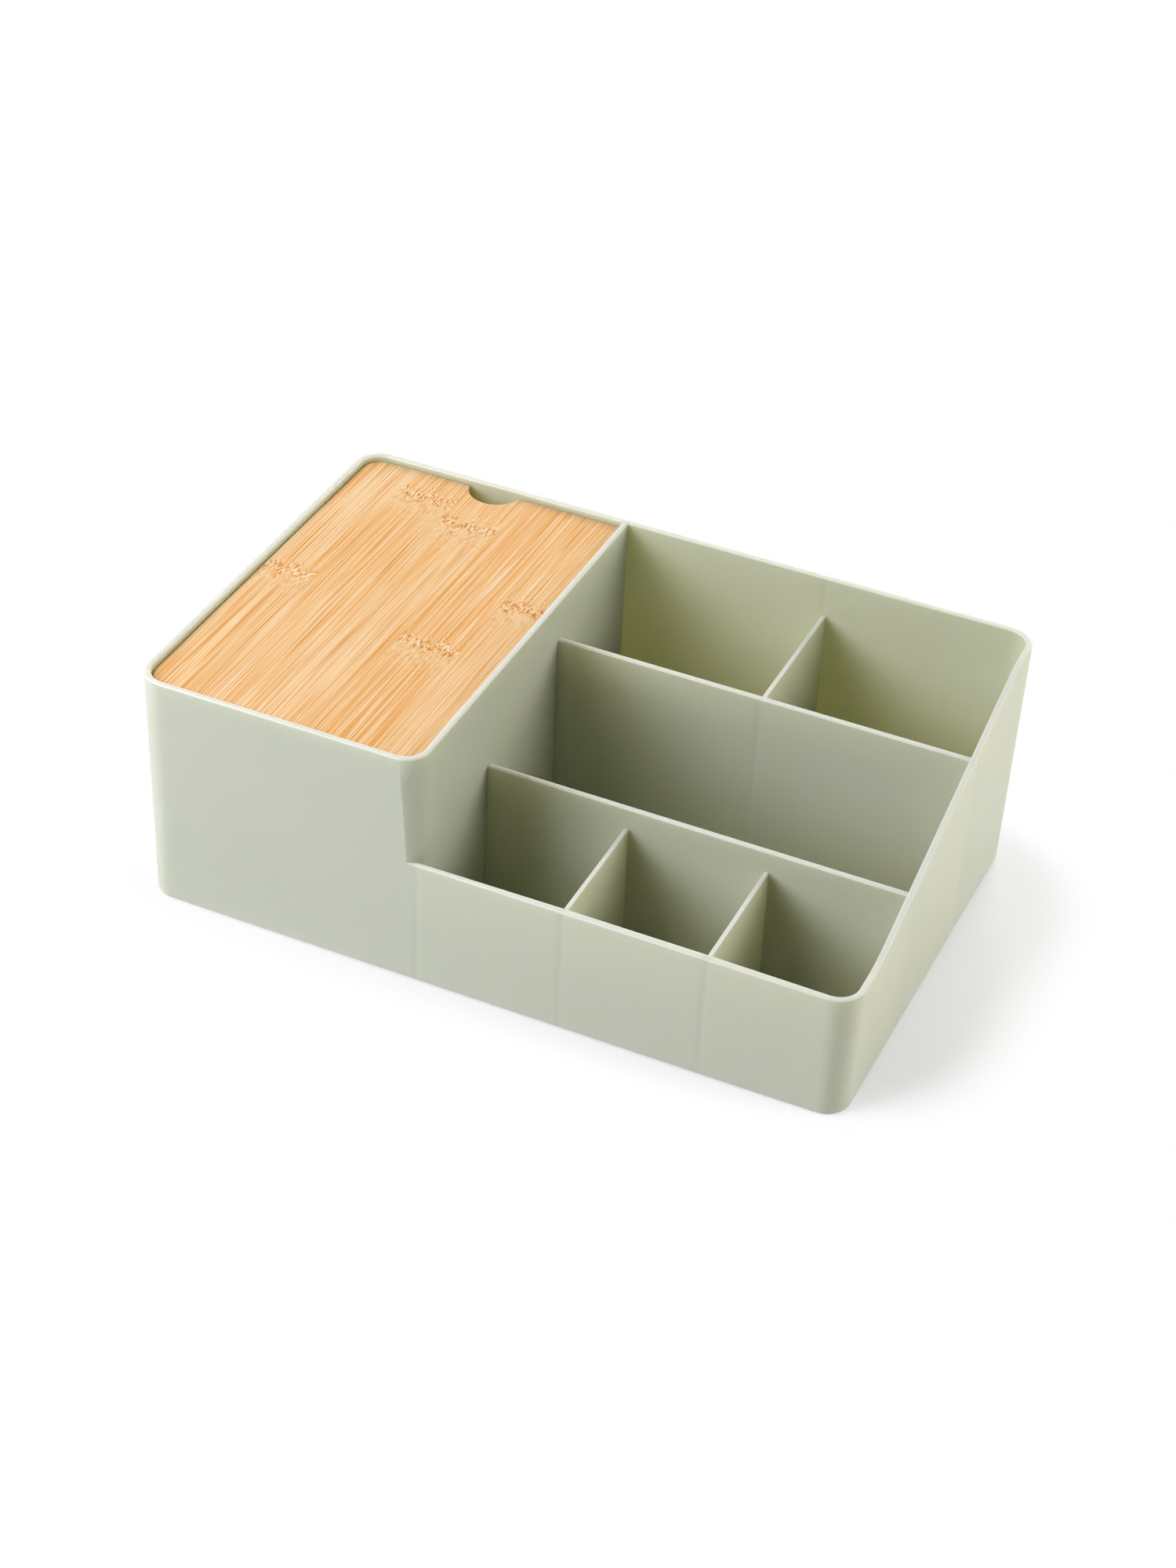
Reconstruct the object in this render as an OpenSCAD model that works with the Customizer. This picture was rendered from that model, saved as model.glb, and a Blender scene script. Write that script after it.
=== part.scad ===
// Vanity organizer: a moulded tray with a lidded box on its left and open compartments
// that step down towards the front, a lift-out bamboo lid and four anti-slip feet.
// The origin is under the middle of the tray, on the surface that it stands on.
// +X is right, +Y is back, +Z is up.

/* [Tray] */
// Width over the rim
tray_w = 280; // [260:1:320]
// Depth over the rim
tray_d = 180.5; // [165:0.5:210]
// Height of the box, the back wall and the left wall
tray_h = 98; // [90:1:120]
// Height of the front wall of the open compartments
low_h = 53; // [40:1:60]
// Thickness of the outer walls and of the partition at the rim
wall_t = 2.5; // [2:0.1:3]
// Thickness of the floor
floor_t = 2.6; // [2.4:0.1:4]
// Radius of the upright outer corners at the rim
corner_r = 11; // [8:0.5:16]
// Lean of the outer walls, in degrees
wall_draft = 0.95; // [0.5:0.05:1.5]
// Rounding along the tops of the walls
rim_r = 0.9; // [0.4:0.1:1]

/* [Sloping side] */
// Distance from the front of the rim to the foot of the slope
slope_foot = 26; // [22:1:34]
// Distance from the back of the rim to the head of the slope
slope_head = 22; // [18:1:30]
// Radius of the two bends of the slope
bend_r = 45; // [10:5:50]

/* [Box] */
// Width of the box over its walls at the rim
box_w = 114; // [100:1:125]
// Radius of the box's front right corner at the rim
box_corner_r = 9.6; // [7:0.2:12]
// Width of each rib under the lid
seat_t = 1.8; // [1.4:0.1:3]
// Reach of each rib from the wall
seat_reach = 4.5; // [3:0.5:6]

/* [Dividers] */
// Thickness of the two long dividers at the top
divider_t = 2.4; // [1.8:0.1:3]
// Distance from the back of the rim to the back divider
back_row_d = 62.8; // [55:0.2:70]
// Height of the back divider and of the short one behind it
back_row_h = 81.2; // [74:0.2:82]
// Distance from the front of the rim to the front divider
front_row_d = 55.4; // [50:0.2:62]
// Height of the front divider
front_row_h = 61.8; // [56:0.2:62]
// Thickness of the short dividers at the top
short_t = 1.7; // [1.4:0.1:2.4]
// Lean of every divider face, in degrees
divider_draft = 0.5; // [0.3:0.1:1]

/* [Lid] */
// Thickness of the bamboo board
lid_t = 7; // [5:0.5:9]
// Depth of the lid's top below the rim
lid_drop = 2.2; // [1:0.2:4]
// Gap around the lid
lid_gap = 0.8; // [0.5:0.1:1.2]
// Radius of the finger notch
notch_r = 10.6; // [8:0.2:14]
// Rounding of the notch's two ends
notch_end_r = 1.4; // [0.6:0.2:2]

/* [Feet] */
// Diameter of a foot
foot_d = 12; // [8:1:16]
// Thickness of a foot
foot_t = 1.6; // [1.5:0.1:2]
// Depth of the recess that holds a foot
foot_recess = 1.1; // [0.8:0.1:1.2]
// Gap around a foot in its recess
foot_gap = 0.2; // [0.1:0.05:0.4]
// Distance of a foot's centre from the rim's outline
foot_inset = 24; // [18:1:32]

/* [Hidden] */
$fn = 96;

// Overrun of every cut past the face that it leaves
over = 4;

// Grid of derived lengths, which makes faces that touch agree to the last digit
grid = 0.001;

// How much nearer a round's centre lies to the faces that it joins, as a share of its radius: the
// round then crosses both faces instead of just touching them. Wide bends need less of it.
cross_share = 0.012;
bend_cross_share = 0.0006;

// Heights above the surface
base_z = foot_t - foot_recess;
rim_z = base_z + tray_h;
low_z = base_z + low_h;
floor_z = base_z + floor_t;
lid_top_z = rim_z - lid_drop;
seat_z = lid_top_z - lid_t;

// Half sizes over the rim, and how far a face leans in per unit of height
half_w = tray_w / 2;
half_d = tray_d / 2;
lean = tan(wall_draft);
rib_lean = tan(divider_draft);

// Box: the partition's faces at the rim and the centre of its front right corner
partition_right = -half_w + box_w;
partition_left = partition_right - wall_t;
box_cx = partition_right - box_corner_r;
box_cy = -half_d + box_corner_r;
box_out_y = box_cy - neat(box_corner_r * cross_share);

// Slope: its two corners and its angle
foot_y = -half_d + slope_foot;
head_y = half_d - slope_head;
slope_angle = atan2(rim_z - low_z, head_y - foot_y);
bend_len = bend_r * tan(slope_angle / 2);

// Dividers: the middle and the top of each
back_divider_y = half_d - back_row_d - divider_t / 2;
front_divider_y = -half_d + front_row_d + divider_t / 2;
back_divider_z = base_z + back_row_h;
front_divider_z = base_z + front_row_h;

// Short dividers as shares of the open width, which runs from the partition to the right wall
open_w = half_w - wall_t - partition_right;
back_split_share = 0.505;
front_split_shares = [0.345, 0.678];

// Seats under the lid as shares of the box's inner width and depth
seat_shares = [0.2, 0.8];
seat_depth_shares = [0.22, 0.78];

// Middle of the box, and the lid's faces
box_mid_x = (-half_w + partition_right) / 2;
lid_back = half_d - wall_t - lid_gap;
notch_set_share = 0.15;
notch_set = notch_r * notch_set_share;

function neat(length) = round(length / grid) * grid;

// How far the tray's walls and the box's outer corner have moved in or out at the height z
function sink(z) = neat((rim_z - z) * lean);
function spread(z) = neat((rim_z - z) * rib_lean);

// Stands a flat outline drawn in (Y, Z) along X
module along_x(x0, x1) {
    translate([x0, 0, 0]) rotate([90, 0, 90]) linear_extrude(x1 - x0) children();
}

// Stands a flat outline drawn in (X, Z) along Y
module along_y(y0, y1) {
    translate([0, y1, 0]) rotate([90, 0, 0]) linear_extrude(y1 - y0) children();
}

// Section through a tub, whose half size is the one at the rim's height
module leaning_section(half, z0, z1) {
    low_half = half - sink(z0);
    top_half = half - sink(z1);
    polygon([[-low_half, z0], [low_half, z0], [top_half, z1], [-top_half, z1]]);
}

// Tub with upright cone corners; half_x, half_y and r are its sizes at the rim's height
module tub(half_x, half_y, r, z0, z1) {
    along_x(-half_x + r, half_x - r) leaning_section(half_y, z0, z1);
    along_y(-half_y + r, half_y - r) leaning_section(half_x, z0, z1);
    for (sx = [-1, 1], sy = [-1, 1])
        translate([sx * (half_x - r), sy * (half_y - r), z0])
            cylinder(h = z1 - z0, r1 = r - sink(z0), r2 = r - sink(z1));
}

// Outside of the tray
module outer_tub() {
    tub(half_w, half_d, corner_r, base_z, rim_z);
}

// Inside of the tray above the floor, drawn bigger by grow
module inner_tub(grow = 0) {
    inset = wall_t - grow;
    tub(half_w - inset, half_d - inset, corner_r - inset, floor_z - grow, rim_z + over);
}

// Everything left of the partition, with the box's front right corner, a round about [box_cx, cy]
// that has the radius r0 at the height z0 and r1 at z1
module box_side(cy, r0, r1, z0, z1) {
    left = -half_w - over;
    along_y(cy, half_d + over)
        polygon([[left, z0], [box_cx + r0, z0], [box_cx + r1, z1], [left, z1]]);
    translate([left, -half_d - over, z0]) cube([box_cx - left, tray_d + 2 * over, z1 - z0]);
    translate([box_cx, cy, z0]) cylinder(h = z1 - z0, r1 = r0, r2 = r1);
}

module box_outside() {
    z0 = base_z - over;
    z1 = rim_z + over;
    box_side(box_out_y, box_corner_r + spread(z0), box_corner_r + spread(z1), z0, z1);
}

module box_inside() {
    r = box_corner_r - wall_t;
    z1 = rim_z + over;
    box_side(box_cy, r - sink(floor_z), r - sink(z1), floor_z, z1);
}

// Side view of the air over the open compartments: level, sloping up and ending at the rim, with
// one bend cut deeper by a circle and the other filled up by one
module air_section() {
    front = -half_d - over;
    top = rim_z + over;
    run = [cos(slope_angle), sin(slope_angle)] * bend_len;
    foot_bend = [foot_y - bend_len, low_z];
    head_bend = [head_y + bend_len, rim_z];
    bend_draw_r = bend_r * (1 + bend_cross_share);
    difference() {
        union() {
            polygon([[front, low_z], foot_bend, [foot_y, low_z] + run, [head_y, rim_z] - run,
                     head_bend, [head_bend[0], top], [front, top]]);
            translate(foot_bend + [0, bend_r]) circle(bend_draw_r);
        }
        translate(head_bend - [0, bend_r]) circle(bend_draw_r);
    }
}

// Section of a divider: a thin wall that widens downwards, its top edges rounded by r
module divider_section(middle, thick, top_z, r) {
    half = thick / 2;
    low_half = half + (top_z - base_z) * rib_lean;
    set = r * (1 - cross_share);
    translate([middle, top_z]) difference() {
        polygon([[-low_half, base_z - top_z], [low_half, base_z - top_z], [half, 0], [-half, 0]]);
        for (side = [0, 1]) mirror([side, 0]) difference() {
            translate([half - set, -set]) square(set + r);
            translate([half - set, -set]) circle(r);
        }
    }
}

// The long and short dividers, which end inside the walls that they join
module dividers() {
    bite = wall_t / 2;
    left = partition_right - bite;
    right = half_w - bite;
    back = half_d - bite;
    along_x(left, right) divider_section(back_divider_y, divider_t, back_divider_z, rim_r);
    along_x(left, right) divider_section(front_divider_y, divider_t, front_divider_z, rim_r);
    along_y(back_divider_y, back)
        divider_section(partition_right + open_w * back_split_share, short_t, back_divider_z,
                        short_t / 5);
    for (share = front_split_shares)
        along_y(-half_d + bite, front_divider_y)
            divider_section(partition_right + open_w * share, short_t, low_z, short_t / 5);
}

// Upright ribs on the box's four inner faces, whose tops carry the lid
module lid_seats() {
    inner_w = box_w - 2 * wall_t;
    inner_d = tray_d - 2 * wall_t;
    left = -half_w + wall_t;
    front = -half_d + wall_t;
    rise = seat_z - base_z;
    for (share = seat_depth_shares) {
        y = front + inner_d * share - seat_t / 2;
        translate([left - wall_t / 2, y, base_z]) cube([seat_reach + wall_t / 2, seat_t, rise]);
        translate([partition_left - seat_reach, y, base_z])
            cube([seat_reach + wall_t / 2, seat_t, rise]);
    }
    for (share = seat_shares) {
        x = left + inner_w * share - seat_t / 2;
        translate([x, front - wall_t / 2, base_z]) cube([seat_t, seat_reach + wall_t / 2, rise]);
        translate([x, -front - seat_reach, base_z]) cube([seat_t, seat_reach + wall_t / 2, rise]);
    }
}

module foot_places() {
    for (sx = [-1, 1], sy = [-1, 1])
        translate([sx * (half_w - foot_inset), sy * (half_d - foot_inset), 0]) children();
}

module tray_body() {
    color("#c9ccbf") difference() {
        union() {
            difference() {
                outer_tub();
                intersection() {
                    inner_tub();
                    box_inside();
                }
                difference() {
                    union() {
                        inner_tub();
                        along_x(box_cx, half_w + over) air_section();
                    }
                    box_outside();
                }
            }
            intersection() {
                inner_tub(wall_t / 2);
                union() {
                    dividers();
                    lid_seats();
                }
            }
        }
        foot_places() translate([0, 0, base_z - over])
            cylinder(h = over + foot_recess, d = foot_d + 2 * foot_gap);
    }
}

// Outline of the lid before its notch; the back right corner is square
module lid_outline() {
    left = -half_w + wall_t + lid_gap;
    right = partition_left - lid_gap;
    front = -half_d + wall_t + lid_gap;
    r = corner_r - wall_t - lid_gap;
    front_r = box_corner_r - wall_t - lid_gap;
    translate([left + r, front + r]) square([right - left - r, lid_back - front - r]);
    translate([left, front + r]) square([r, lid_back - front - 2 * r]);
    translate([left + r, front]) square([right - front_r - left - r, r]);
    for (y = [front + r, lid_back - r]) translate([left + r, y]) circle(r);
    translate([right - front_r, front + front_r]) circle(front_r);
}

// Finger notch, drawn round the middle of the lid's back edge: a circle set back beyond the edge,
// with the two corners that it leaves at the edge rounded off
module notch_outline() {
    end_y = -notch_end_r;
    end_x = sqrt(pow(notch_r + notch_end_r, 2) - pow(notch_set - end_y, 2));
    touch_share = notch_r / (notch_r + notch_end_r);
    touch = [end_x * touch_share, notch_set + (end_y - notch_set) * touch_share];
    translate([0, notch_set]) circle(notch_r);
    for (side = [0, 1]) mirror([side, 0]) difference() {
        polygon([[end_x, 0], [end_x, over], [0, over], touch, [end_x, end_y]]);
        translate([end_x, end_y]) circle(notch_end_r);
    }
}

module bamboo_lid() {
    color("#eec18c") translate([0, 0, seat_z]) linear_extrude(lid_t) difference() {
        lid_outline();
        translate([box_mid_x, lid_back]) notch_outline();
    }
}

module foot(sx, sy) {
    color("#d8d8d4") translate([sx * (half_w - foot_inset), sy * (half_d - foot_inset), 0])
        cylinder(h = foot_t, d = foot_d);
}

module foot_front_left() { foot(-1, -1); }
module foot_front_right() { foot(1, -1); }
module foot_back_left() { foot(-1, 1); }
module foot_back_right() { foot(1, 1); }

tray_body();
bamboo_lid();
foot_front_left();
foot_front_right();
foot_back_left();
foot_back_right();
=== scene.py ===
"""Vanity organizer: a moulded tray with a lidded box, a bamboo lid and four anti-slip feet.

Lengths are in metres unless a name ends in _mm, and angles in radians unless it ends in _deg. All
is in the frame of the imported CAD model: the origin is under the middle of the tray, +X is right,
+Y is back and +Z is up.
"""

import logging
import math
from collections.abc import Callable, Sequence
from dataclasses import dataclass
from enum import Enum
from functools import partial

import bmesh
import bpy
from mathutils import Matrix, Vector

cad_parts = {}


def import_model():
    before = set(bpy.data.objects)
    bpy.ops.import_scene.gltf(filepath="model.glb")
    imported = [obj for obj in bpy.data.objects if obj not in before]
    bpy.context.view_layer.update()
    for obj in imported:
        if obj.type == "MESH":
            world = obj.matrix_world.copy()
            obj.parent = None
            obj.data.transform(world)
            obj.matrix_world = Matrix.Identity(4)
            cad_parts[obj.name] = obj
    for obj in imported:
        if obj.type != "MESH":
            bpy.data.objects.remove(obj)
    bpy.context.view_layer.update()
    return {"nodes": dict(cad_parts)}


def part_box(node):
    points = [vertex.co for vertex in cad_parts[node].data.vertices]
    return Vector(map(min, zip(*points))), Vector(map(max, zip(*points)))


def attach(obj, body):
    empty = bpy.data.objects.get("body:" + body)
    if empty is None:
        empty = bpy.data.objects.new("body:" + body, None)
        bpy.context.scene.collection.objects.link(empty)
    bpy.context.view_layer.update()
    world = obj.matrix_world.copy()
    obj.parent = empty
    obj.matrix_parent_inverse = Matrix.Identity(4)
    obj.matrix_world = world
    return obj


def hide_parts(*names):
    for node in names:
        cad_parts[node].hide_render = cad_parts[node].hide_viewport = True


MM = 0.001
MM_PER_M = 1000.0
LOG = logging.getLogger("vanity_organizer")

# Upward share of a face's normal: over the first the face is level, under the second a wall
LEVEL_FROM = 0.85
WALL_UNDER = 0.2

AddNode = Callable[..., bpy.types.Node]
Socket = bpy.types.NodeSocket
Stops = Sequence[tuple[float, float | str]]


class Body(Enum):
    """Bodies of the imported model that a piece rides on."""

    TRAY = "tray"
    LID = "lid"


class Slot(Enum):
    """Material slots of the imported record."""

    TRAY = "tray"
    LID = "lid"
    FOOT = "foot"


class Side(Enum):
    """Kinds of face that an edge can lie between."""

    TOP = "top"
    WALL = "wall"
    BOTTOM = "bottom"
    OTHER = "other"


def linear(hex_colour: str) -> tuple[float, float, float, float]:
    """Turns an sRGB hex colour into the linear colour that a socket takes.

    Args:
        hex_colour: Six hex digits after a hash sign.

    Returns:
        Red, green, blue and alpha.
    """
    parts = [int(hex_colour[i : i + 2], 16) / 255 for i in (1, 3, 5)]
    lit = [c / 12.92 if c <= 0.04045 else ((c + 0.055) / 1.055) ** 2.4 for c in parts]
    return (lit[0], lit[1], lit[2], 1.0)


def direction(azimuth: float, elevation: float) -> Vector:
    """Gives the direction from the object to a lamp or camera.

    Args:
        azimuth: Angle from straight in front towards the right, in radians.
        elevation: Angle above the floor, in radians.

    Returns:
        The direction.
    """
    level = math.cos(elevation)
    return Vector((math.sin(azimuth) * level, -math.cos(azimuth) * level, math.sin(elevation)))


def add_node(
    tree: bpy.types.NodeTree,
    kind: str,
    inputs: dict[int | str, object] | None = None,
    stops: Stops = (),
    **settings: object,
) -> bpy.types.Node:
    """Adds a shader node with its settings and its links.

    Args:
        tree: Node tree that gets the node.
        kind: The node's type without its leading ShaderNode.
        inputs: A value, or an output socket to link, by each input's name or number.
        stops: Position and hex colour or grey level of each stop, for a colour ramp.
        **settings: Properties of the node, such as its operation.

    Returns:
        The new node.
    """
    node = tree.nodes.new("ShaderNode" + kind)
    for name, value in settings.items():
        setattr(node, name, value)
    for key, value in (inputs or {}).items():
        if isinstance(value, Socket):
            tree.links.new(value, node.inputs[key])
        else:
            node.inputs[key].default_value = value
    if stops:
        ramp = node.color_ramp
        while len(ramp.elements) < len(stops):
            ramp.elements.new(1.0)
        for element, (position, colour) in zip(ramp.elements, stops):
            element.position = position
            element.color = linear(colour) if isinstance(colour, str) else (colour,) * 3 + (1.0,)
    return node


def new_material(name: str) -> tuple[bpy.types.Material, AddNode]:
    """Makes an empty node material.

    Args:
        name: Name of the finish.

    Returns:
        The material, and add_node for its tree.
    """
    material = bpy.data.materials.new(name)
    material.use_nodes = True
    material.node_tree.nodes.clear()
    return material, partial(add_node, material.node_tree)


@dataclass(frozen=True)
class MouldedPlastic:
    """Injection-moulded polypropylene, satin from a finely etched mould.

    The pigment gives a pale grey green. The shine is broad and soft. Light goes some way into the
    thin walls and through them, more of the red than of the blue. Where a rib meets a wall from
    behind, the wall has sunk a little as it cooled, which shows as a faint upright line. The tops
    of the walls are painted paler where they face upwards: a painted highlight that stands in for
    their shine and for the light that comes out of them after going in at the sides.
    """

    colour: str = "#c4c7b1"
    warm_colour: str = "#c7c8b1"
    drift_mm: float = 83.333
    # Painted highlight: the walls' tops are painted paler, standing in for their shine and glow
    painted_highlight_colour: str = "#d3d3c8"
    painted_highlight_above_mm: float = 12.0
    painted_highlight_lean: tuple[float, float] = (0.1, 0.7)
    haze_mm: tuple[float, float, float] = (5.3, 5.1, 4.2)
    haze_share: float = 0.88
    roughness: float = 0.38
    ior: float = 1.49

    # A satin etch is usually about 0.1 mm, too fine to show, so it is drawn coarser
    etch_mm: float = 0.35
    etch_depth_mm: float = 0.004

    # Sink marks: their size, their places along each face, and how near the face they are drawn
    sink_width_mm: float = 2.4
    sink_depth_mm: float = 0.12
    front_sinks_mm: tuple[float, ...] = (-26.5, 30.4, 84.8)
    right_sinks_mm: tuple[float, ...] = (26.25, -33.65)
    back_sinks_mm: tuple[float, ...] = (56.0,)
    wall_reach_mm: float = 3.4
    divider_mm: float = 24.6
    divider_reach_mm: float = 1.0
    divider_sinks_mm: tuple[float, ...] = (56.0,)

    def relief(self, add: AddNode, place_mm: Socket, low: Vector, high: Vector) -> Socket:
        """Lays the etched grain and the sink marks.

        Args:
            add: Adds a node to the material.
            place_mm: Place on the tray in millimetres.
            low: Lowest corner of the tray.
            high: Highest corner of the tray.

        Returns:
            The bumped normal.
        """
        x, y, _ = add("SeparateXYZ", {0: place_mm}).outputs
        etch = add("TexNoise", {"Vector": place_mm, "Scale": 1 / self.etch_mm, "Detail": 1.0})
        depth = add("Math", {0: etch.outputs[0], 1: self.etch_depth_mm}, operation="MULTIPLY")
        walls = (
            (x, y, low.y * MM_PER_M, self.wall_reach_mm, self.front_sinks_mm),
            (y, x, high.x * MM_PER_M, self.wall_reach_mm, self.right_sinks_mm),
            (x, y, high.y * MM_PER_M, self.wall_reach_mm, self.back_sinks_mm),
            (x, y, self.divider_mm, self.divider_reach_mm, self.divider_sinks_mm),
        )
        for along, out, face, reach, sinks in walls:
            near = add("Math", {0: out, 1: face, 2: reach}, operation="COMPARE")
            for spot in sinks:
                off = add("Math", {0: along, 1: spot}, operation="SUBTRACT")
                off = add("Math", {0: off.outputs[0]}, operation="ABSOLUTE")
                dip = add(
                    "MapRange",
                    {0: off.outputs[0], 2: self.sink_width_mm, 3: -self.sink_depth_mm, 4: 0.0},
                    interpolation_type="SMOOTHSTEP",
                )
                dip = add("Math", {0: dip.outputs[0], 1: near.outputs[0]}, operation="MULTIPLY")
                depth = add("Math", {0: depth.outputs[0], 1: dip.outputs[0]}, operation="ADD")
        height = add("Math", {0: depth.outputs[0], 1: MM}, operation="MULTIPLY").outputs[0]
        return add("Bump", {"Height": height, "Strength": 1.0, "Distance": 1.0}).outputs[0]

    def tint(self, add: AddNode, place_mm: Socket, normal: Socket) -> Socket:
        """Mixes the pigment, which drifts a little, with a painted highlight on the walls' tops.

        Args:
            add: Adds a node to the material.
            place_mm: Place on the tray in millimetres.
            normal: The surface's direction.

        Returns:
            The colour.
        """
        noise = {"Vector": place_mm, "Scale": 1 / self.drift_mm, "Detail": 2.0}
        drift = add("TexNoise", noise).outputs[0]
        mix = {0: drift, 6: linear(self.colour), 7: linear(self.warm_colour)}
        pigment = add("Mix", mix, data_type="RGBA").outputs[2]

        # The painted highlight goes on faces that point upwards and lie above the tray's floor
        upward = add("SeparateXYZ", {0: normal}).outputs[2]
        start, full = self.painted_highlight_lean
        fade = {0: upward, 1: start, 2: full}
        top = add("MapRange", fade, interpolation_type="SMOOTHSTEP").outputs[0]
        height_mm = add("SeparateXYZ", {0: place_mm}).outputs[2]
        above = add("Math", {0: height_mm, 1: self.painted_highlight_above_mm}, operation="GREATER_THAN")
        top = add("Math", {0: top, 1: above.outputs[0]}, operation="MULTIPLY").outputs[0]
        mix = {0: top, 6: pigment, 7: linear(self.painted_highlight_colour)}
        return add("Mix", mix, data_type="RGBA").outputs[2]

    def material(self, low: Vector, high: Vector) -> bpy.types.Material:
        """Builds the finish.

        Args:
            low: Lowest corner of the tray.
            high: Highest corner of the tray.

        Returns:
            The material.
        """
        material, add = new_material("moulded_polypropylene")
        coordinates = add("TexCoord").outputs
        place = coordinates["Object"]
        place_mm = add("VectorMath", {0: place, 3: MM_PER_M}, operation="SCALE").outputs[0]
        shader = add(
            "BsdfPrincipled",
            {
                "Base Color": self.tint(add, place_mm, coordinates["Normal"]),
                "Roughness": self.roughness,
                "IOR": self.ior,
                "Subsurface Weight": self.haze_share,
                "Subsurface Radius": self.haze_mm,
                "Subsurface Scale": MM,
                "Normal": self.relief(add, place_mm, low, high),
            },
        )
        add("OutputMaterial", {0: shader.outputs[0]})
        return material


@dataclass(frozen=True)
class FibreLines:
    """Fine lines of one colour along the fibres, read from drawn-out noise.

    A line is streak_mm wide and long. Its colour is at nothing where the noise is at the first of
    its two levels, and at full strength where the noise is at the second.
    """

    streak_mm: tuple[float, float]
    levels: tuple[float, float]
    strength: float
    colour: str


@dataclass(frozen=True)
class LaminatedBamboo:
    """Laminated bamboo, planed and oiled: flat strips glued side by side, fibres along Y.

    Each strip has its own tone and one knuckle, where the fibres break up into short dark ticks
    and pin-sized pores. Broad bands of tone lie under pale and dark lines about 0.3 mm wide, about
    as wide as bamboo's bundles of fibres. The oil leaves a dull shine.
    """

    roughness: float = 0.5
    ior: float = 1.53

    # Strips, counted from the left, and how far the pattern shifts from each to the next
    strip_mm: float = 23.5
    first_strip_mm: float = -139.5
    strip_shift_mm: float = 17.3
    strip_seed: float = 0.37

    # Place of each strip's knuckle along Y, within the limit, and how far its row sways
    knuckles_mm: tuple[float, ...] = (0.0, 71.0, 59.0, -20.5, 17.5)
    knuckle_limit_mm: float = 100.0
    sway_mm: float = 4.5455
    sway_levels: tuple[float, float] = (0.2, 0.8)
    sway_reach_mm: float = 4.0

    # Distance from the knuckle where the ticks and the bend of the fibres start to fade, and end
    row_mm: tuple[float, float] = (1.5, 5.0)
    bend_mm: tuple[float, float] = (2.0, 14.0)
    weave_mm: float = 2.0
    weave_reach_mm: float = 1.2

    # Width and length of the streaks in the broad tone, the depth of all streaks, and the shares
    bundle_mm: tuple[float, float] = (2.4, 80.0)
    band_mm: tuple[float, float] = (11.0, 200.0)
    depth_mm: float = 5.0
    bundle_share: float = 0.35
    band_share: float = 0.5
    strip_share: float = 0.15
    tones: Stops = ((0.36, "#e8b16f"), (0.5, "#eabc7e"), (0.68, "#eec795"))

    # Lines on the broad tone
    pale_lines: FibreLines = FibreLines((0.31, 50.0), (0.51, 0.62), 0.85, "#f3d9b5")
    dark_lines: FibreLines = FibreLines((0.28, 60.0), (0.49, 0.36), 1.0, "#d58b34")

    # Blur in front of the knuckle: where it starts, is fullest and ends, and its streaks' size
    blur_mm: tuple[float, float, float] = (-20.0, -5.0, 0.0)
    blur_streak_mm: tuple[float, float, float] = (0.9091, 3.3333, 5.0)
    blur_tones: Stops = ((0.36, "#dba167"), (0.47, "#e6bb84"), (0.6, "#ecca9d"))
    blur_strength: float = 0.75

    # Torn ticks on the knuckle, with their width, length and depth
    tick_mm: tuple[float, float, float] = (0.6667, 2.381, 5.0)
    tick_tones: Stops = ((0.34, "#bd6c29"), (0.44, "#d99650"), (0.52, "#eabc7e"), (0.66, "#f2dab5"))

    # Pores on the knuckle: a dark hole in a pale ring, their edges as shares of a cell
    pore_cell_mm: float = 2.381
    pore_row_mm: tuple[float, float] = (1.5, 2.5)
    empty_cell_share: float = 0.45
    ring_shares: tuple[float, float] = (0.28, 0.42)
    ring_strength: float = 0.6
    ring_colour: str = "#f3dfbe"
    hole_shares: tuple[float, float] = (0.15, 0.25)
    hole_strength: float = 0.95
    hole_colour: str = "#7a4418"

    # Relief
    hole_depth_mm: float = 0.01
    fibre_height_mm: float = 0.03
    tick_height_mm: float = 0.05

    def strip_number(self, add: AddNode, x: Socket) -> Socket:
        """Numbers the strips from the left.

        Args:
            add: Adds a node to the material.
            x: Place across the fibres in millimetres.

        Returns:
            The number of the strip, from 0.
        """
        shifted = add("Math", {0: x, 1: self.first_strip_mm}, operation="SUBTRACT").outputs[0]
        strips = add("Math", {0: shifted, 1: self.strip_mm}, operation="DIVIDE").outputs[0]
        return add("Math", {0: strips}, operation="FLOOR").outputs[0]

    def knuckle_place(self, add: AddNode, strip: Socket) -> Socket:
        """Looks up where a strip has its knuckle, on a stepped ramp over the strips.

        Args:
            add: Adds a node to the material.
            strip: The number of the strip.

        Returns:
            The knuckle's place along the fibres in millimetres.
        """
        count = len(self.knuckles_mm)
        limit = self.knuckle_limit_mm
        stops = [
            (i / count, (spot + limit) / (2 * limit)) for i, spot in enumerate(self.knuckles_mm)
        ]
        middle = add("Math", {0: strip, 1: 0.5}, operation="ADD").outputs[0]
        share = add("Math", {0: middle, 1: float(count)}, operation="DIVIDE").outputs[0]
        steps = add("ValToRGB", {0: share}, stops=stops)
        steps.color_ramp.interpolation = "CONSTANT"
        return add("MapRange", {0: steps.outputs[0], 3: -limit, 4: limit}).outputs[0]

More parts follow.
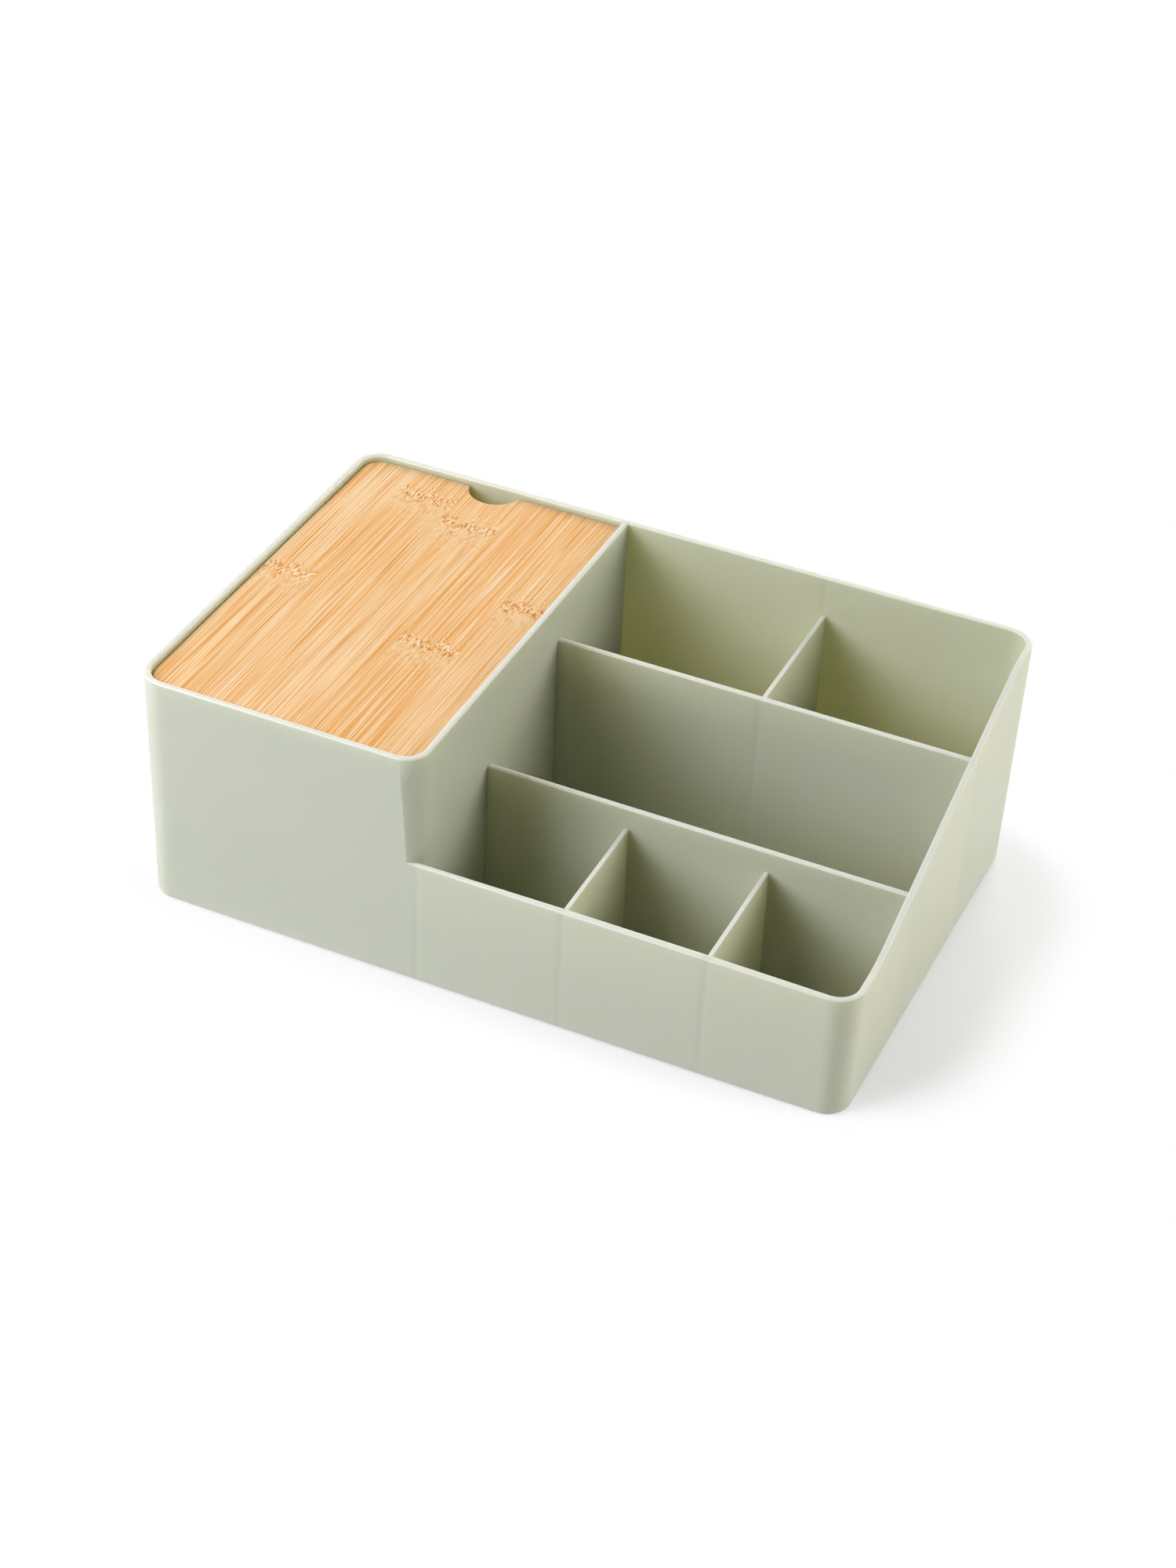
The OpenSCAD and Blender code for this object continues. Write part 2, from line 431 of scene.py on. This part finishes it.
    def past_knuckle(self, add: AddNode, x: Socket, y: Socket, strip: Socket) -> Socket:
        """Measures how far behind its strip's knuckle, which sways, a place lies.

        Args:
            add: Adds a node to the material.
            x: Place across the fibres in millimetres.
            y: Place along the fibres in millimetres.
            strip: The number of the strip.

        Returns:
            The distance in millimetres, below zero in front of the knuckle.
        """
        knuckle = self.knuckle_place(add, strip)
        off = add("Math", {0: y, 1: knuckle}, operation="SUBTRACT").outputs[0]
        noise = {"W": x, "Scale": 1 / self.sway_mm, "Detail": 2.0}
        sway = add("TexNoise", noise, noise_dimensions="1D").outputs[0]
        low, high = self.sway_levels
        span = {0: sway, 1: low, 2: high, 3: -self.sway_reach_mm, 4: self.sway_reach_mm}
        sway = add("MapRange", span).outputs[0]
        return add("Math", {0: off, 1: sway}, operation="ADD").outputs[0]

    def near_knuckle(self, add: AddNode, away: Socket, fade_mm: tuple[float, float]) -> Socket:
        """Fades from 1 at the knuckle to 0 away from it.

        Args:
            add: Adds a node to the material.
            away: Distance from the knuckle in millimetres.
            fade_mm: Distances at which the fade starts and ends.

        Returns:
            The share.
        """
        start, end = fade_mm
        fade = {0: away, 1: start, 2: end, 3: 1.0, 4: 0.0}
        return add("MapRange", fade, interpolation_type="SMOOTHSTEP").outputs[0]

    def bent(self, add: AddNode, place_mm: Socket, x: Socket, bend: Socket) -> Socket:
        """Bends the fibres aside near a knuckle.

        Args:
            add: Adds a node to the material.
            place_mm: Place on the board in millimetres.
            x: Place across the fibres in millimetres.
            bend: Share of the bend.

        Returns:
            Place across the bent fibres in millimetres.
        """
        noise = {"Vector": place_mm, "Scale": 1 / self.weave_mm, "Detail": 1.0}
        weave = add("TexNoise", noise).outputs[0]
        span = {0: weave, 3: -self.weave_reach_mm, 4: self.weave_reach_mm}
        weave = add("MapRange", span).outputs[0]
        weave = add("Math", {0: weave, 1: bend}, operation="MULTIPLY").outputs[0]
        return add("Math", {0: x, 1: weave}, operation="ADD").outputs[0]

    def fibres(
        self, add: AddNode, grain: Socket, streak_mm: tuple[float, float], detail: float
    ) -> Socket:
        """Draws noise out along the fibres.

        Args:
            add: Adds a node to the material.
            grain: Place among the fibres in millimetres.
            streak_mm: Width and length of a streak.
            detail: Octaves of finer noise.

        Returns:
            The noise, about 0.5.
        """
        width, length = streak_mm
        scale = (1 / width, 1 / length, 1 / self.depth_mm)
        drawn = add("VectorMath", {0: grain, 1: scale}, operation="MULTIPLY").outputs[0]
        return add("TexNoise", {"Vector": drawn, "Scale": 1.0, "Detail": detail}).outputs[0]

    def broad_tone(self, add: AddNode, grain: Socket, strip: Socket) -> Socket:
        """Colours the strips, with broad bands and bundles of fibres in them.

        Args:
            add: Adds a node to the material.
            grain: Place among the fibres in millimetres.
            strip: The number of the strip.

        Returns:
            The colour.
        """
        seed = add("Math", {0: strip, 1: self.strip_seed}, operation="ADD").outputs[0]
        own = add("TexWhiteNoise", {"W": seed}, noise_dimensions="1D").outputs["Value"]
        bundle = self.fibres(add, grain, self.bundle_mm, 2.0)
        band = self.fibres(add, grain, self.band_mm, 1.0)
        mixed = add("Math", {0: bundle, 1: self.bundle_share}, operation="MULTIPLY").outputs[0]
        for noise, share in ((band, self.band_share), (own, self.strip_share)):
            added = {0: noise, 1: share, 2: mixed}
            mixed = add("Math", added, operation="MULTIPLY_ADD").outputs[0]
        return add("ValToRGB", {0: mixed}, stops=self.tones).outputs[0]

    def lined(self, add: AddNode, colour: Socket, noise: Socket, lines: FibreLines) -> Socket:
        """Draws fine lines along the fibres.

        Args:
            add: Adds a node to the material.
            colour: The colour so far.
            noise: Noise drawn out along the fibres.
            lines: The lines to draw from it.

        Returns:
            The colour with the lines.
        """
        start, full = lines.levels
        amount = add("MapRange", {0: noise, 1: start, 2: full, 3: 0.0, 4: lines.strength})
        mix = {0: amount.outputs[0], 6: colour, 7: linear(lines.colour)}
        return add("Mix", mix, data_type="RGBA").outputs[2]

    def blurred(self, add: AddNode, colour: Socket, place_mm: Socket, off: Socket) -> Socket:
        """Blurs the fibres in front of a knuckle into short broken streaks.

        Args:
            add: Adds a node to the material.
            colour: The colour so far.
            place_mm: Place on the board in millimetres.
            off: Distance behind the knuckle in millimetres.

        Returns:
            The colour with the streaks.
        """
        start, full, end = self.blur_mm
        rise = add("MapRange", {0: off, 1: start, 2: full}, interpolation_type="SMOOTHSTEP")
        fall = add("MapRange", {0: off, 1: full, 2: end, 3: 1.0, 4: 0.0})
        both = {0: rise.outputs[0], 1: fall.outputs[0]}
        amount = add("Math", both, operation="MULTIPLY").outputs[0]
        amount = add("Math", {0: amount, 1: self.blur_strength}, operation="MULTIPLY").outputs[0]
        spread = {0: place_mm, 1: self.blur_streak_mm}
        drawn = add("VectorMath", spread, operation="DIVIDE").outputs[0]
        streak = add("TexNoise", {"Vector": drawn, "Scale": 1.0, "Detail": 2.0}).outputs[0]
        tone = add("ValToRGB", {0: streak}, stops=self.blur_tones).outputs[0]
        return add("Mix", {0: amount, 6: colour, 7: tone}, data_type="RGBA").outputs[2]

    def torn(
        self, add: AddNode, colour: Socket, place_mm: Socket, row: Socket
    ) -> tuple[Socket, Socket]:
        """Tears the fibres on a knuckle into short dark and pale ticks.

        Args:
            add: Adds a node to the material.
            colour: The colour so far.
            place_mm: Place on the board in millimetres.
            row: Share of the row of ticks.

        Returns:
            The colour with the ticks, and how high each place of the row stands, from 0 to 1.
        """
        spread = {0: place_mm, 1: self.tick_mm}
        drawn = add("VectorMath", spread, operation="DIVIDE").outputs[0]
        tick = add("TexNoise", {"Vector": drawn, "Scale": 1.0, "Detail": 2.0}).outputs[0]
        tone = add("ValToRGB", {0: tick}, stops=self.tick_tones).outputs[0]
        colour = add("Mix", {0: row, 6: colour, 7: tone}, data_type="RGBA").outputs[2]
        return colour, add("Math", {0: tick, 1: row}, operation="MULTIPLY").outputs[0]

    def pored(
        self, add: AddNode, colour: Socket, flat: Socket, away: Socket
    ) -> tuple[Socket, Socket]:
        """Pricks pin holes with a pale ring along the knuckle, in some cells only.

        Args:
            add: Adds a node to the material.
            colour: The colour so far.
            flat: Place on the strip in millimetres.
            away: Distance from the knuckle in millimetres.

        Returns:
            The colour with the pores, and how much of a hole each place is.
        """
        pattern = {"Vector": flat, "Scale": 1 / self.pore_cell_mm, "Randomness": 1.0}
        cells = add("TexVoronoi", pattern).outputs
        lot = add("SeparateColor", {0: cells["Color"]}).outputs[0]
        picked = {0: lot, 1: self.empty_cell_share}
        filled = add("Math", picked, operation="GREATER_THAN").outputs[0]
        start, end = self.pore_row_mm
        near = add("MapRange", {0: away, 1: start, 2: end, 3: 1.0, 4: 0.0}).outputs[0]
        near = add("Math", {0: near, 1: filled}, operation="MULTIPLY").outputs[0]
        ring = (self.ring_shares, self.ring_strength, self.ring_colour)
        hole = (self.hole_shares, self.hole_strength, self.hole_colour)
        for (start, end), strength, hue in (ring, hole):
            fade = {0: cells["Distance"], 1: start, 2: end, 3: strength, 4: 0.0}
            disc = add("MapRange", fade).outputs[0]
            disc = add("Math", {0: disc, 1: near}, operation="MULTIPLY").outputs[0]
            mix = {0: disc, 6: colour, 7: linear(hue)}
            colour = add("Mix", mix, data_type="RGBA").outputs[2]

        # The last disc is the hole's
        return colour, disc

    def relief(self, add: AddNode, fibre: Socket, tick: Socket, hole: Socket) -> Socket:
        """Sinks the dark fibres, the dark ticks and the pores below the rest.

        Args:
            add: Adds a node to the material.
            fibre: Noise of the dark lines, low in a line.
            tick: How high each place of the row of ticks stands, from 0 to 1.
            hole: How much of a hole each place is.

        Returns:
            The bumped normal.
        """
        height = add("Math", {0: hole, 1: -self.hole_depth_mm}, operation="MULTIPLY").outputs[0]
        for noise, height_mm in ((fibre, self.fibre_height_mm), (tick, self.tick_height_mm)):
            added = {0: noise, 1: height_mm, 2: height}
            height = add("Math", added, operation="MULTIPLY_ADD").outputs[0]
        height = add("Math", {0: height, 1: MM}, operation="MULTIPLY").outputs[0]
        return add("Bump", {"Height": height, "Strength": 1.0, "Distance": 1.0}).outputs[0]

    def material(self) -> bpy.types.Material:
        """Builds the finish.

        Returns:
            The material.
        """
        material, add = new_material("laminated_bamboo")
        place = add("TexCoord").outputs["Object"]
        place_mm = add("VectorMath", {0: place, 3: MM_PER_M}, operation="SCALE").outputs[0]
        x, y, z = add("SeparateXYZ", {0: place_mm}).outputs
        strip = self.strip_number(add, x)
        off = self.past_knuckle(add, x, y, strip)
        away = add("Math", {0: off}, operation="ABSOLUTE").outputs[0]

        # No two strips share their pattern, because each one reads its own layer of the noise
        layer = add("Math", {0: strip, 1: self.strip_shift_mm}, operation="MULTIPLY").outputs[0]
        layer = add("Math", {0: layer, 1: z}, operation="ADD").outputs[0]
        flat = add("CombineXYZ", {0: x, 1: y, 2: layer}).outputs[0]
        across = self.bent(add, place_mm, x, self.near_knuckle(add, away, self.bend_mm))
        grain = add("CombineXYZ", {0: across, 1: y, 2: layer}).outputs[0]

        pale = self.fibres(add, grain, self.pale_lines.streak_mm, 1.0)
        dark = self.fibres(add, grain, self.dark_lines.streak_mm, 1.0)
        colour = self.broad_tone(add, grain, strip)
        colour = self.lined(add, colour, pale, self.pale_lines)
        colour = self.lined(add, colour, dark, self.dark_lines)
        colour = self.blurred(add, colour, place_mm, off)
        row = self.near_knuckle(add, away, self.row_mm)
        colour, tick = self.torn(add, colour, place_mm, row)
        colour, hole = self.pored(add, colour, flat, away)
        shader = add(
            "BsdfPrincipled",
            {
                "Base Color": colour,
                "Roughness": self.roughness,
                "IOR": self.ior,
                "Normal": self.relief(add, dark, tick, hole),
            },
        )
        add("OutputMaterial", {0: shader.outputs[0]})
        return material


@dataclass(frozen=True)
class FootRubber:
    """Thermoplastic rubber, moulded matt: a dull greyish white with a fine tooth."""

    colour: str = "#cfd0ca"
    roughness: float = 0.7
    ior: float = 1.5

    # A matt tooth is usually about 0.1 mm, too fine to show, so it is drawn coarser
    tooth_mm: float = 0.3
    tooth_depth_mm: float = 0.02

    def material(self) -> bpy.types.Material:
        """Builds the finish.

        Returns:
            The material.
        """
        material, add = new_material("thermoplastic_rubber")
        place = add("TexCoord").outputs["Object"]
        place_mm = add("VectorMath", {0: place, 3: MM_PER_M}, operation="SCALE").outputs[0]
        tooth = add("TexNoise", {"Vector": place_mm, "Scale": 1 / self.tooth_mm, "Detail": 2.0})
        depth = {0: tooth.outputs[0], 1: self.tooth_depth_mm * MM}
        height = add("Math", depth, operation="MULTIPLY").outputs[0]
        bump = add("Bump", {"Height": height, "Strength": 1.0, "Distance": 1.0}).outputs[0]
        shader = add(
            "BsdfPrincipled",
            {
                "Base Color": linear(self.colour),
                "Roughness": self.roughness,
                "IOR": self.ior,
                "Normal": bump,
            },
        )
        add("OutputMaterial", {0: shader.outputs[0]})
        return material


def merged_copy(
    node: bpy.types.Object, merge: float = 0.002 * MM, flat_angle: float = math.radians(0.3)
) -> bmesh.types.BMesh:
    """Copies a CAD node's loose triangles into one closed mesh with whole flat faces.

    Args:
        node: The CAD node's object.
        merge: Distance under which corners are one.
        flat_angle: Angle under which two faces are one flat face, in radians.

    Returns:
        The mesh.
    """
    mesh = bmesh.new()
    mesh.from_mesh(node.data)
    bmesh.ops.remove_doubles(mesh, verts=mesh.verts, dist=merge)
    bmesh.ops.dissolve_limit(mesh, angle_limit=flat_angle, verts=mesh.verts, edges=mesh.edges)
    mesh.normal_update()
    for edge in mesh.edges:
        edge.smooth = True
    return mesh


def side_of(face: bmesh.types.BMFace) -> Side:
    """Says which kind of face this is, by its normal.

    Args:
        face: A face of the object.

    Returns:
        The kind.
    """
    if face.normal.z > LEVEL_FROM:
        return Side.TOP
    if face.normal.z < -LEVEL_FROM:
        return Side.BOTTOM
    return Side.WALL if abs(face.normal.z) < WALL_UNDER else Side.OTHER


def round_edges(
    mesh: bmesh.types.BMesh, edges: Sequence[bmesh.types.BMEdge], radius: float, segments: int
) -> None:
    """Rounds edges off.

    Args:
        mesh: Mesh that holds the edges.
        edges: Edges to round.
        radius: Width of the rounding.
        segments: Faces across the rounding.
    """
    bmesh.ops.bevel(
        mesh,
        geom=list(edges),
        offset=radius,
        offset_type="OFFSET",
        affect="EDGES",
        segments=segments,
        profile=0.5,
        material=-1,
        clamp_overlap=False,
        loop_slide=True,
    )


def edges_between(
    mesh: bmesh.types.BMesh, first: Side, second: Side, above: float = -math.inf
) -> list[bmesh.types.BMEdge]:
    """Finds the outward edges between two kinds of face.

    Args:
        mesh: Mesh to search.
        first: One kind of face.
        second: The other kind.
        above: Height that both ends of the edge are above.

    Returns:
        The edges.
    """
    wanted = {first, second}
    return [
        edge
        for edge in mesh.edges
        if len(edge.link_faces) == 2
        and edge.is_convex
        and {side_of(face) for face in edge.link_faces} == wanted
        and min(vert.co.z for vert in edge.verts) > above
    ]


def finished_piece(
    name: str,
    mesh: bmesh.types.BMesh,
    material: bpy.types.Material,
    body: Body,
    sharp_angle: float = math.radians(32),
) -> bpy.types.Object:
    """Turns a mesh into a piece that rides on a body.

    Args:
        name: Name of the piece.
        mesh: Its shape, which is freed.
        material: Its finish.
        body: Body that it rides on.
        sharp_angle: Angle above which an edge shades sharp, in radians.

    Returns:
        The piece.
    """
    for face in mesh.faces:
        face.smooth = True
    for edge in mesh.edges:
        edge.smooth = edge.smooth and edge.calc_face_angle(0.0) < sharp_angle
    data = bpy.data.meshes.new(name)
    mesh.to_mesh(data)
    mesh.free()
    data.materials.append(material)
    piece = bpy.data.objects.new(name, data)
    bpy.context.scene.collection.objects.link(piece)
    shading = piece.modifiers.new("even_shading", "WEIGHTED_NORMAL")
    shading.keep_sharp = True
    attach(piece, body.value)
    return piece


@dataclass
class Tray:
    """The moulded tray: box, open compartments and sloping side, with rounded rims.

    The rims are the top edges that lie higher than rim_above.
    """

    node: bpy.types.Object
    finish: MouldedPlastic
    rim_radius: float = 0.9 * MM
    rim_segments: int = 4
    base_radius: float = 0.8 * MM
    base_segments: int = 3
    rim_above: float = 50 * MM
    crease_angle: float = math.radians(18)
    upright_share: float = 0.8

    def keep_crease(self, mesh: bmesh.types.BMesh) -> None:
        """Keeps sharp the upright edge where the box's rounded corner leaves the flat front.

        Args:
            mesh: The tray's mesh.
        """
        front = max(mesh.faces, key=lambda face: -face.normal.y * face.calc_area())
        for edge in front.edges:
            low, high = sorted(vert.co.z for vert in edge.verts)
            upright = high - low > self.upright_share * edge.calc_length()
            if upright and low > self.rim_above and edge.calc_face_angle(0.0) > self.crease_angle:
                edge.smooth = False

    def shape(self) -> bmesh.types.BMesh:
        """Rounds the rims and the base of a copy of the CAD tray.

        Returns:
            The tray's mesh.
        """
        mesh = merged_copy(self.node)
        rims = edges_between(mesh, Side.TOP, Side.WALL, self.rim_above)
        round_edges(mesh, rims, self.rim_radius, self.rim_segments)
        mesh.normal_update()
        low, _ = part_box(self.node.name)
        outer = [
            edge
            for edge in edges_between(mesh, Side.BOTTOM, Side.WALL)
            if max(vert.co.z for vert in edge.verts) < low.z + self.base_radius
        ]
        round_edges(mesh, outer, self.base_radius, self.base_segments)
        self.keep_crease(mesh)
        return mesh

    def build(self) -> bpy.types.Object:
        """Builds and dresses the tray.

        Returns:
            The piece.
        """
        finish = self.finish.material(*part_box(self.node.name))
        piece = finished_piece("moulded_tray", self.shape(), finish, Body.TRAY)
        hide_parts(self.node.name)
        return piece


@dataclass
class BambooLid:
    """The lift-out board with its finger notch."""

    node: bpy.types.Object
    finish: LaminatedBamboo
    edge_radius: float = 0.35 * MM
    edge_segments: int = 2

    def build(self) -> bpy.types.Object:
        """Builds the board with eased edges and dresses it.

        Returns:
            The piece.
        """
        mesh = merged_copy(self.node)
        edges = edges_between(mesh, Side.TOP, Side.WALL)
        edges += edges_between(mesh, Side.BOTTOM, Side.WALL)
        round_edges(mesh, edges, self.edge_radius, self.edge_segments)
        piece = finished_piece("bamboo_board", mesh, self.finish.material(), Body.LID)
        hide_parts(self.node.name)
        return piece


@dataclass
class Foot:
    """One anti-slip foot: a disc with a rounded edge."""

    node: bpy.types.Object
    material: bpy.types.Material
    edge_radius: float = 0.3 * MM
    edge_segments: int = 3
    sides: int = 64

    def build(self) -> bpy.types.Object:
        """Builds and dresses the foot.

        Returns:
            The piece.
        """
        low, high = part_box(self.node.name)
        size = high - low
        mesh = bmesh.new()
        bmesh.ops.create_cone(
            mesh,
            cap_ends=True,
            segments=self.sides,
            radius1=size.x / 2,
            radius2=size.x / 2,
            depth=size.z,
            matrix=Matrix.Translation((low + high) / 2),
        )
        edges = edges_between(mesh, Side.BOTTOM, Side.WALL)
        round_edges(mesh, edges, self.edge_radius, self.edge_segments)
        name = self.node.name.replace("foot_", "foot_disc_")
        piece = finished_piece(name, mesh, self.material, Body.TRAY)
        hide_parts(self.node.name)
        return piece


@dataclass(frozen=True)
class Softbox:
    """A round soft lamp that looks at the middle of the object's base.

    Its power is in watts. Without sheen it lights the object but isn't mirrored in it.
    """

    name: str
    azimuth_deg: float
    elevation_deg: float
    power: float
    colour: str = "#ffffff"
    size: float = 0.9
    distance: float = 1.5
    sheen: bool = True

    def build(self) -> bpy.types.Object:
        """Hangs the lamp.

        Returns:
            The lamp.
        """
        out = direction(math.radians(self.azimuth_deg), math.radians(self.elevation_deg))
        data = bpy.data.lights.new(self.name, "AREA")
        data.shape = "DISK"
        data.size = self.size
        data.energy = self.power
        data.color = linear(self.colour)[:3]
        lamp = bpy.data.objects.new(self.name, data)
        lamp.location = out * self.distance
        lamp.rotation_euler = out.to_track_quat("Z", "Y").to_euler()
        lamp.visible_glossy = self.sheen
        bpy.context.scene.collection.objects.link(lamp)
        return lamp


@dataclass
class Studio:
    """Pale floor, soft light and the camera at the photograph's angle.

    The main light is a large softbox to the left in front, with a lower, cooler one under it. Two
    more lift the right side and the back. The floor shows its shadows in a rounded rectangle round
    the object, where only white_share of it is plain white, and it fades to white outside.
    """

    floor_size: float = 12.0
    floor_colour: str = "#f6f6f6"
    white_share: float = 0.33
    fade_centre: tuple[float, float, float] = (0.0, 0.005, 0.0)
    fade_reach: tuple[float, float, float] = (0.19, 0.11, 1.0)
    fade_shares: tuple[float, float] = (0.66, 1.0)
    world_strength: float = 0.015
    softboxes: tuple[Softbox, ...] = (
        Softbox("key", azimuth_deg=-50, elevation_deg=42, power=17.5, colour="#fffef3", size=1.2),
        Softbox("low", azimuth_deg=-40, elevation_deg=24, power=11.5, colour="#cbd3ff"),
        Softbox("right", azimuth_deg=106, elevation_deg=22, power=12.5),
        Softbox("behind", azimuth_deg=180, elevation_deg=25, power=18.0, sheen=False),
    )
    eye: tuple[float, float, float] = (0.368354, -0.880495, 0.748773)
    azimuth: float = math.radians(22.714)
    elevation: float = math.radians(36.599)
    roll: float = math.radians(3.064)
    lens_mm: float = 73.067
    sensor_mm: float = 36.0

    def seen_white(self, tree: bpy.types.NodeTree) -> Socket:
        """Tells the rays that show the background: camera, glossy and transmission rays.

        Args:
            tree: Node tree of the floor or the world.

        Returns:
            1 for such a ray, 0 for any other.
        """
        path = add_node(tree, "LightPath").outputs
        seen = path["Is Camera Ray"]
        for ray in ("Is Glossy Ray", "Is Transmission Ray"):
            rays = {0: seen, 1: path[ray]}
            seen = add_node(tree, "Math", rays, operation="ADD", use_clamp=True).outputs[0]
        return seen

    def floor(self) -> bpy.types.Object:
        """Lays the floor, which is seen as white wherever it isn't shaded.

        Returns:
            The floor.
        """
        mesh = bmesh.new()
        bmesh.ops.create_grid(mesh, x_segments=1, y_segments=1, size=self.floor_size / 2)
        data = bpy.data.meshes.new("floor")
        mesh.to_mesh(data)
        mesh.free()
        material, add = new_material("studio_floor")
        place = add("TexCoord").outputs["Object"]
        off = add("VectorMath", {0: place, 1: self.fade_centre}, operation="SUBTRACT").outputs[0]

        # Squaring each part before the length is taken makes a rounded rectangle of the oval
        reach = add("VectorMath", {0: off, 1: self.fade_reach}, operation="DIVIDE").outputs[0]
        squared = add("VectorMath", {0: reach, 1: reach}, operation="MULTIPLY").outputs[0]
        away = add("VectorMath", {0: squared}, operation="LENGTH").outputs["Value"]
        start, end = self.fade_shares
        share = add(
            "MapRange",
            {0: away, 1: start, 2: end, 3: self.white_share, 4: 1.0},
            interpolation_type="SMOOTHSTEP",
        ).outputs[0]
        seen = self.seen_white(material.node_tree)
        share = add("Math", {0: share, 1: seen}, operation="MULTIPLY").outputs[0]
        paper = add("BsdfDiffuse", {"Color": linear(self.floor_colour)}).outputs[0]
        white = add("Emission", {"Color": linear("#ffffff"), "Strength": 1.0}).outputs[0]
        shader = add("MixShader", {0: share, 1: paper, 2: white})
        add("OutputMaterial", {0: shader.outputs[0]})
        data.materials.append(material)
        floor = bpy.data.objects.new("floor", data)
        bpy.context.scene.collection.objects.link(floor)
        return floor

    def light(self) -> None:
        """Lights the scene with the softboxes and a faint even world that is seen as white."""
        world = bpy.data.worlds.new("studio_world")
        world.use_nodes = True
        sky = world.node_tree.nodes["Background"]
        sky.inputs[0].default_value = linear("#ffffff")
        level = add_node(
            world.node_tree,
            "MapRange",
            {0: self.seen_white(world.node_tree), 3: self.world_strength, 4: 1.0},
        )
        world.node_tree.links.new(level.outputs[0], sky.inputs[1])
        bpy.context.scene.world = world
        for softbox in self.softboxes:
            softbox.build()

    def camera(self) -> bpy.types.Object:
        """Sets up the camera.

        Returns:
            The camera.
        """
        back = direction(self.azimuth, self.elevation)
        right = Vector((math.cos(self.azimuth), math.sin(self.azimuth), 0.0))
        upward = back.cross(right)
        turned = right * math.cos(self.roll) + upward * math.sin(self.roll)
        data = bpy.data.cameras.new("camera")
        data.sensor_fit = "AUTO"
        data.sensor_width = self.sensor_mm
        data.lens = self.lens_mm
        camera = bpy.data.objects.new("camera", data)
        axes = Matrix((turned, back.cross(turned), back)).transposed()
        camera.matrix_world = Matrix.Translation(self.eye) @ axes.to_4x4()
        bpy.context.scene.collection.objects.link(camera)
        bpy.context.scene.camera = camera
        return camera

    def build(self) -> None:
        """Sets up the whole studio."""
        bpy.context.scene.view_settings.view_transform = "Standard"
        self.camera()
        self.floor()
        self.light()


@dataclass
class Organizer:
    """The whole object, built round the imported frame."""

    nodes: dict[str, bpy.types.Object]

    def build(self) -> list[bpy.types.Object]:
        """Builds every piece.

        Returns:
            The pieces.
        """
        rubber = FootRubber().material()
        feet = sorted(name for name in self.nodes if name.startswith("foot_"))
        return [
            Tray(self.nodes["tray_body"], MouldedPlastic()).build(),
            BambooLid(self.nodes["bamboo_lid"], LaminatedBamboo()).build(),
            *(Foot(self.nodes[name], rubber).build() for name in feet),
        ]


def main() -> None:
    """Builds the studio and the organizer, and reports each piece."""
    logging.basicConfig(level=logging.INFO)
    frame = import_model()
    Studio().build()
    for piece in Organizer(frame["nodes"]).build():
        LOG.info("%s: %d faces", piece.name, len(piece.data.polygons))


if __name__ == "__main__":
    main()
